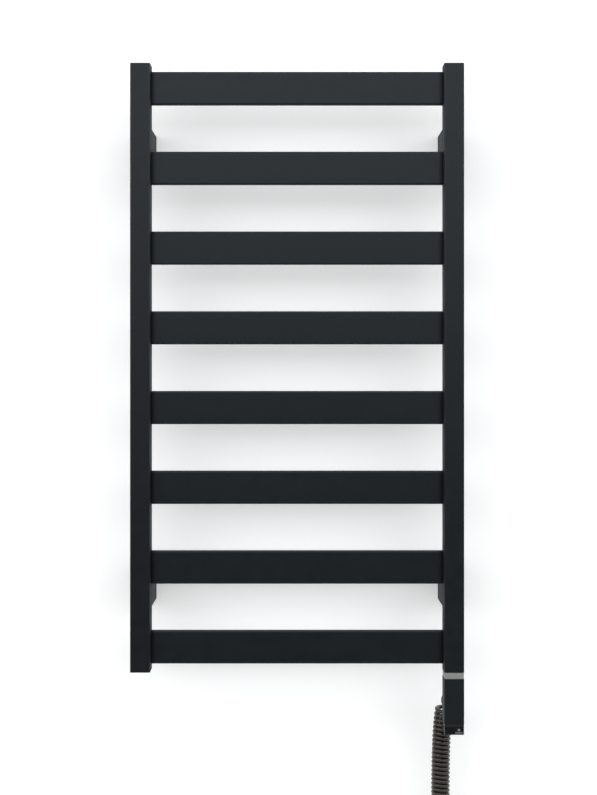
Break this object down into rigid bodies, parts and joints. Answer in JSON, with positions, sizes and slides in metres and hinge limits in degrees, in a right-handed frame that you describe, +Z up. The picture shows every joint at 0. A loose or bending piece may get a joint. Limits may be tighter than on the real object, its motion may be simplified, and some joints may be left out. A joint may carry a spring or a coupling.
{
  "type": "towel warmer rack",
  "caption": "Wall-hung electric towel warmer rack with flat bars between two square posts and a heating element head with push keys and a curly mains lead.",
  "frame": {"origin": "on the wall plane behind the rack, at mid-width and mid-height of the steel rack", "axes": "+Z up along the posts, +Y into the wall, +X to the right seen from the front"},
  "size_m": [0.5002, 0.11, 1.3713],
  "materials": {
    "powder_coat": "satin anthracite-black powder coat, very fine orange peel",
    "matte_black_plastic": "matt black moulded plastic, fine spark texture",
    "gloss_black_plastic": "glossy black moulded plastic",
    "grey_plastic": "matt mid-grey moulded plastic",
    "light_window": "translucent pale light window",
    "light_strip": "smooth mid-grey inlay",
    "plated_steel": "zinc or nickel plated steel",
    "element_steel": "drawn stainless tube",
    "nipple_brass": "turned brass",
    "seal_rubber": "black rubber",
    "cable_jacket": "brown-black satin jacket of a curly lead",
    "plug_rubber": "black moulded plug",
    "board_green": "green solder mask",
    "relay_plastic": "blue relay case",
    "terminal_plastic": "natural nylon"
  },
  "bodies": {
    "rack": {"post_left": "powder_coat", "post_left_top_plate": "powder_coat", "post_left_socket_plate": "powder_coat", "post_right": "powder_coat", "post_right_top_plate": "powder_coat", "post_right_socket_plate": "powder_coat", "bar_1": "powder_coat", "bar_2": "powder_coat", "bar_3": "powder_coat", "bar_4": "powder_coat", "bar_5": "powder_coat", "bar_6": "powder_coat", "bar_7": "powder_coat", "bar_8": "powder_coat", "blanking_plug": "plated_steel", "vent_plug_seal": "seal_rubber", "vent_plug": "plated_steel", "bracket_upper_left_wall_plate": "matte_black_plastic", "bracket_upper_left_body": "matte_black_plastic", "bracket_upper_left_stud": "plated_steel", "bracket_upper_left_lock_screw": "plated_steel", "bracket_upper_right_wall_plate": "matte_black_plastic", "bracket_upper_right_body": "matte_black_plastic", "bracket_upper_right_stud": "plated_steel", "bracket_upper_right_lock_screw": "plated_steel", "bracket_lower_left_wall_plate": "matte_black_plastic", "bracket_lower_left_body": "matte_black_plastic", "bracket_lower_left_stud": "plated_steel", "bracket_lower_left_lock_screw": "plated_steel", "bracket_lower_right_wall_plate": "matte_black_plastic", "bracket_lower_right_body": "matte_black_plastic", "bracket_lower_right_stud": "plated_steel", "bracket_lower_right_lock_screw": "plated_steel", "heater_nipple": "nipple_brass", "nipple_gasket": "seal_rubber", "heating_rod": "element_steel", "head_ring": "grey_plastic", "head_shell": "matte_black_plastic", "head_rear_cover": "matte_black_plastic", "cover_screw_upper": "plated_steel", "cover_screw_lower": "plated_steel", "control_housing": "gloss_black_plastic", "circuit_board": "board_green", "relay": "relay_plastic", "terminal_block": "terminal_plastic", "key_switch_left": "matte_black_plastic", "key_switch_right": "matte_black_plastic", "strain_relief": "seal_rubber", "cord_lead": "cable_jacket", "cord_coil": "cable_jacket", "cord_tail": "cable_jacket", "plug_body": "plug_rubber", "plug_pin_left": "plated_steel", "plug_pin_right": "plated_steel"},
    "key_left": {"key_left": "gloss_black_plastic"},
    "key_right": {"key_right": "gloss_black_plastic", "key_right_light": "light_window", "key_right_strip": "light_strip"}
  },
  "joints": [
    {"name": "key_left_press", "type": "slide", "parent": "rack", "child": "key_left", "axis": [0, 1, 0], "range_m": [0, 0.0006], "stiffness_N_per_m": 500, "springref_m": -0.001},
    {"name": "key_right_press", "type": "slide", "parent": "rack", "child": "key_right", "axis": [0, 1, 0], "range_m": [0, 0.0006], "stiffness_N_per_m": 500, "springref_m": -0.001}
  ]
}
